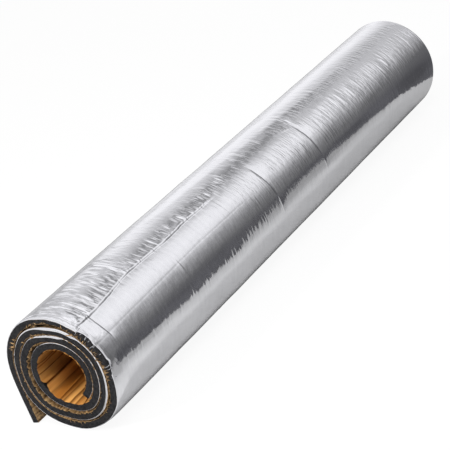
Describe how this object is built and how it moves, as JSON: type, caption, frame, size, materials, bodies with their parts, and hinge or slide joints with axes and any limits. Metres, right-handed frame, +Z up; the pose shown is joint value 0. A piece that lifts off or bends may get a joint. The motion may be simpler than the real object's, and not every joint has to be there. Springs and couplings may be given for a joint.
{
  "type": "sound deadening mat",
  "caption": "Foil-faced closed-cell foam mat with a paper release liner, wound into a loose roll that lies on its side, its outer end hanging free as a short tail.",
  "frame": {"origin": "on the surface the roll lies on, under the middle of its width and halfway along it", "axes": "+Y along the roll's axis, towards its back end; +Z up; the free outer end hangs on the -X side"},
  "size_m": [0.1666, 1, 0.164],
  "materials": {
    "foam": "matt cut closed-cell foam",
    "foil": "bright, finely wrinkled foil",
    "liner": "creased kraft release paper with a slight sheen"
  },
  "bodies": {
    "root": {"foam_mat": "foam", "foil_facing": "foil", "release_liner": "liner"}
  },
  "joints": []
}
